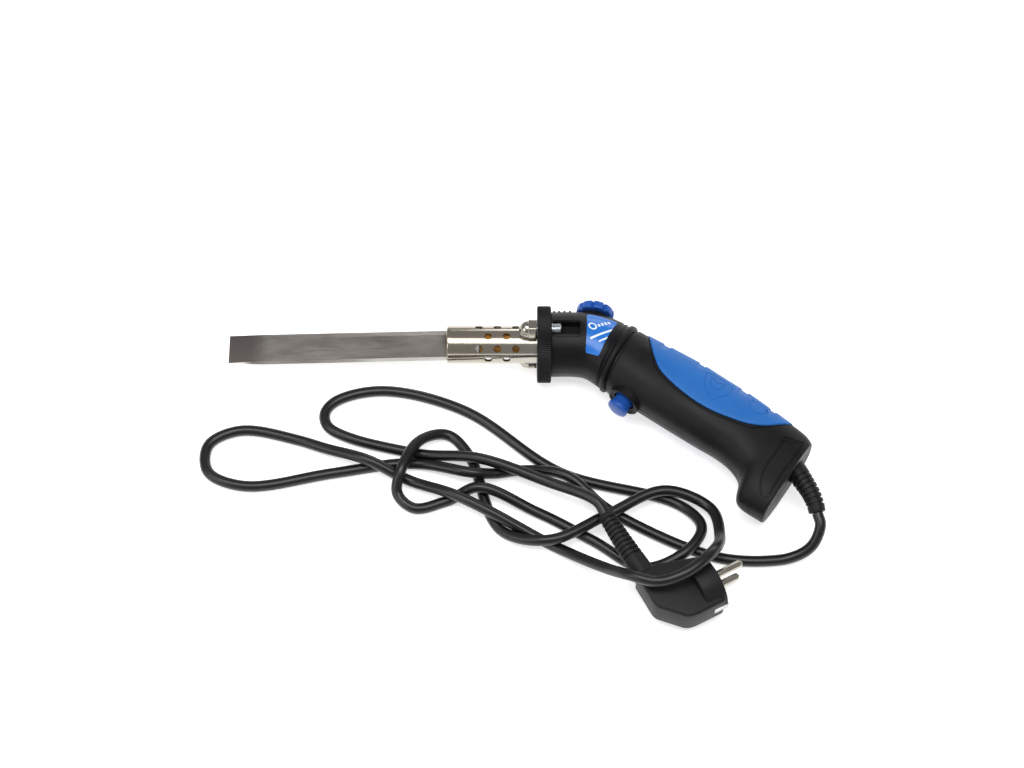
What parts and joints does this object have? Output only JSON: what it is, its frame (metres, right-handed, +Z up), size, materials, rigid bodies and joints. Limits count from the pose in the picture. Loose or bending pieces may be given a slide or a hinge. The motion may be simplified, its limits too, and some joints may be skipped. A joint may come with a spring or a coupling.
{
  "type": "hot-knife foam cutter",
  "caption": "Pistol-grip electric hot knife: a heated flat blade in a vented tube, collar, moulded handle with dial and push button, mains cord and plug.",
  "frame": {"origin": "on the table, under the middle of the tool's own box, the free cord and its plug left out", "axes": "+X from the blade's tip back towards the handle, +Y towards the dial's side, +Z up from the table, across the tool's thickness"},
  "size_m": [0.4016, 0.2249, 0.0508],
  "materials": {
    "body_plastic": "satin black moulded nylon",
    "grip_rubber": "blue overmoulded soft rubber",
    "blue_plastic": "blue moulded plastic",
    "label_film": "printed blue film",
    "blade_steel": "heat-stained ground steel",
    "tube_chrome": "bright plated tube",
    "nut_nickel": "bright nickel plate",
    "plated_steel": "zinc-plated steel",
    "heater_ceramic": "fired ceramic",
    "heater_mica": "amber mica wrap",
    "brass_parts": "turned brass",
    "pin_nickel": "nickel-plated brass",
    "electric_plastic": "black moulded plastic",
    "board_laminate": "green laminate",
    "capacitor_case": "yellow plastic case",
    "sink_aluminium": "extruded aluminium",
    "coil_enamel": "enamelled winding",
    "terminal_plastic": "white nylon",
    "lead_brown": "brown wire insulation",
    "lead_blue": "blue wire insulation",
    "cord_rubber": "black rubber sheath"
  },
  "bodies": {
    "body": {"blade": "blade_steel", "blade_holder": "blade_steel", "blade_set_screw": "plated_steel", "barrel_tube": "tube_chrome", "heater_core": "heater_ceramic", "heater_sleeve": "heater_mica", "collar": "body_plastic", "guide_stud_left": "plated_steel", "dome_nut_left": "nut_nickel", "guide_stud_right": "plated_steel", "dome_nut_right": "nut_nickel", "housing_left": "body_plastic", "housing_right": "body_plastic", "grip_left": "grip_rubber", "grip_right": "grip_rubber", "housing_screw_1": "plated_steel", "housing_screw_2": "plated_steel", "housing_screw_3": "plated_steel", "housing_screw_4": "plated_steel", "housing_screw_5": "plated_steel", "label": "label_film", "potentiometer": "plated_steel", "button_spring": "plated_steel", "micro_switch": "electric_plastic", "control_board": "board_laminate", "filter_capacitor": "capacitor_case", "triac": "electric_plastic", "heat_sink": "sink_aluminium", "choke_coil": "coil_enamel", "terminal_block": "terminal_plastic", "live_lead": "lead_brown", "neutral_lead": "lead_blue", "heater_lead_live": "lead_brown", "heater_lead_neutral": "lead_blue", "switch_lead": "electric_plastic", "cord_tail": "cord_rubber", "cord_clamp": "body_plastic", "clamp_screw_1": "plated_steel", "clamp_screw_2": "plated_steel", "strain_relief": "cord_rubber", "plug_pin_1": "pin_nickel", "earth_clip_1": "pin_nickel", "plug_pin_2": "pin_nickel", "earth_clip_2": "pin_nickel", "plug_body": "cord_rubber", "plug_boot": "cord_rubber", "cord": "cord_rubber"},
    "dial": {"dial_knob": "blue_plastic", "dial_shaft": "brass_parts"},
    "button": {"push_button": "blue_plastic"}
  },
  "joints": [
    {"name": "dial_turn", "type": "hinge", "parent": "body", "child": "dial", "pos_m": [0.0491, 0.0693, 0.0254], "axis": [0.1822, 0.9833, 0], "range_deg": [-270, 0]},
    {"name": "button_press", "type": "slide", "parent": "body", "child": "button", "axis": [0.6018, 0.7986, 0], "range_m": [0, 0.0035], "stiffness_N_per_m": 400, "springref_m": -0.003, "deforming": ["button_spring"]}
  ]
}
